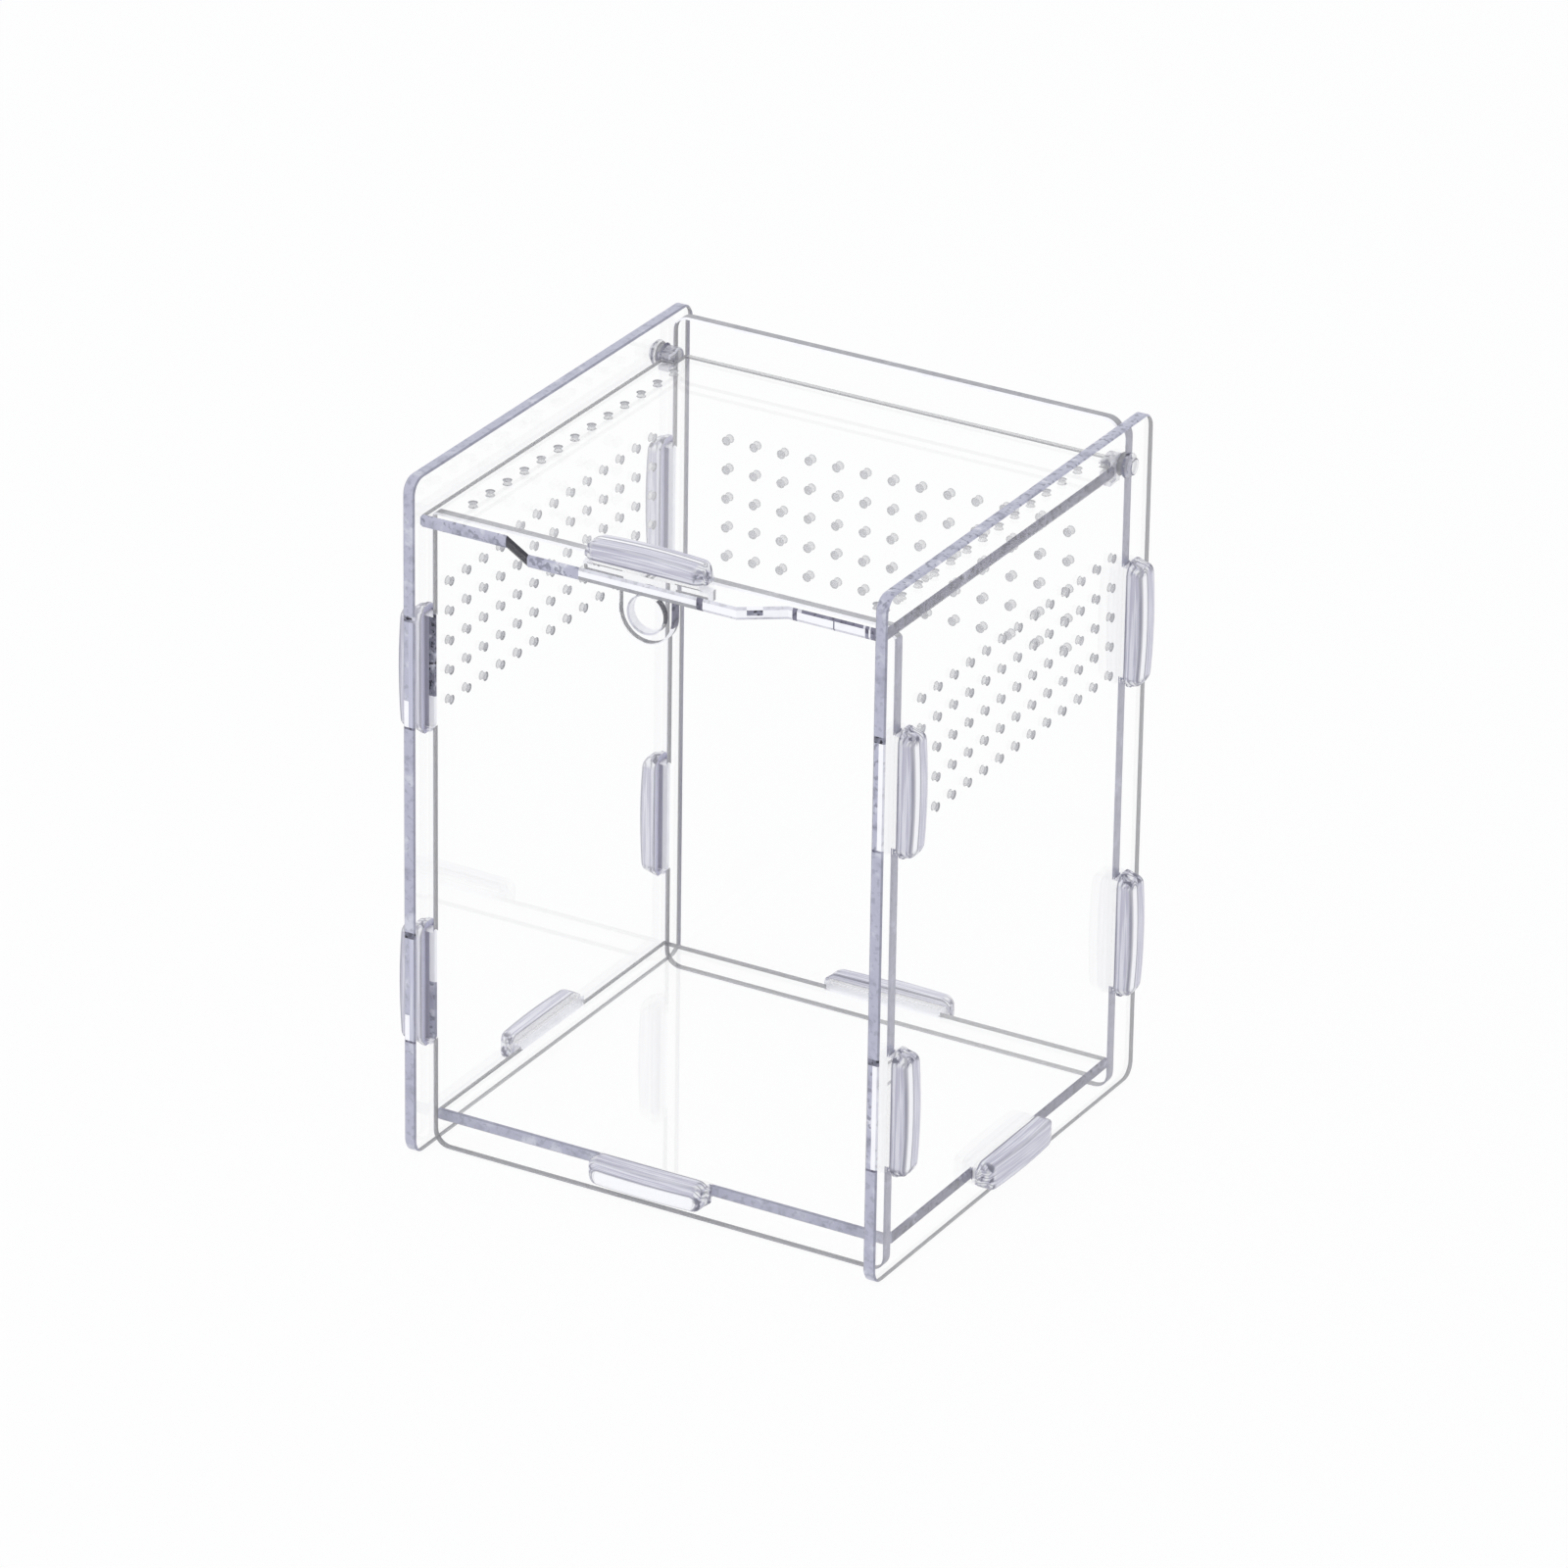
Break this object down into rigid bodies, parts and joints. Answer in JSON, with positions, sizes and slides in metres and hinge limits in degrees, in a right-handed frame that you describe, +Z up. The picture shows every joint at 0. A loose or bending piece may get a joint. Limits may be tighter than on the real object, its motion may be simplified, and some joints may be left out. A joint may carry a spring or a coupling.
{
  "type": "acrylic terrarium",
  "caption": "Tall clear acrylic box with a hinged, vented lid, a pull tab, vented walls and a raised floor, tenoned together and locked by push-on clips.",
  "frame": {"origin": "bottom centre of the object's box, on the surface it stands on", "axes": "+Z up along the walls, +Y from the pull tab to the hinge side, +X to the right seen from the front"},
  "size_m": [0.1182, 0.1126, 0.15],
  "materials": {
    "clear_acrylic": "polished clear sheet with bright cut edges",
    "clip_plastic": "moulded clear plastic, glossy",
    "hinge_plastic": "moulded smoky clear plastic, glossy"
  },
  "bodies": {
    "box": {"left_panel": "clear_acrylic", "right_panel": "clear_acrylic", "front_panel": "clear_acrylic", "back_panel": "clear_acrylic", "floor_panel": "clear_acrylic", "left_front_lower_clip": "clip_plastic", "left_front_upper_clip": "clip_plastic", "left_back_lower_clip": "clip_plastic", "left_back_upper_clip": "clip_plastic", "right_front_lower_clip": "clip_plastic", "right_front_upper_clip": "clip_plastic", "right_back_lower_clip": "clip_plastic", "right_back_upper_clip": "clip_plastic", "front_floor_clip": "clip_plastic", "back_floor_clip": "clip_plastic", "left_floor_clip": "clip_plastic", "right_floor_clip": "clip_plastic"},
    "lid": {"lid_panel": "clear_acrylic", "pull_tab": "clear_acrylic", "lid_clip": "clip_plastic", "left_hinge_pin": "hinge_plastic", "right_hinge_pin": "hinge_plastic", "left_hinge_knuckle": "hinge_plastic", "right_hinge_knuckle": "hinge_plastic"}
  },
  "joints": [
    {"name": "lid_hinge", "type": "hinge", "parent": "box", "child": "lid", "pos_m": [0, 0.045, 0.1421], "axis": [-1, 0, 0], "range_deg": [0, 92]}
  ]
}
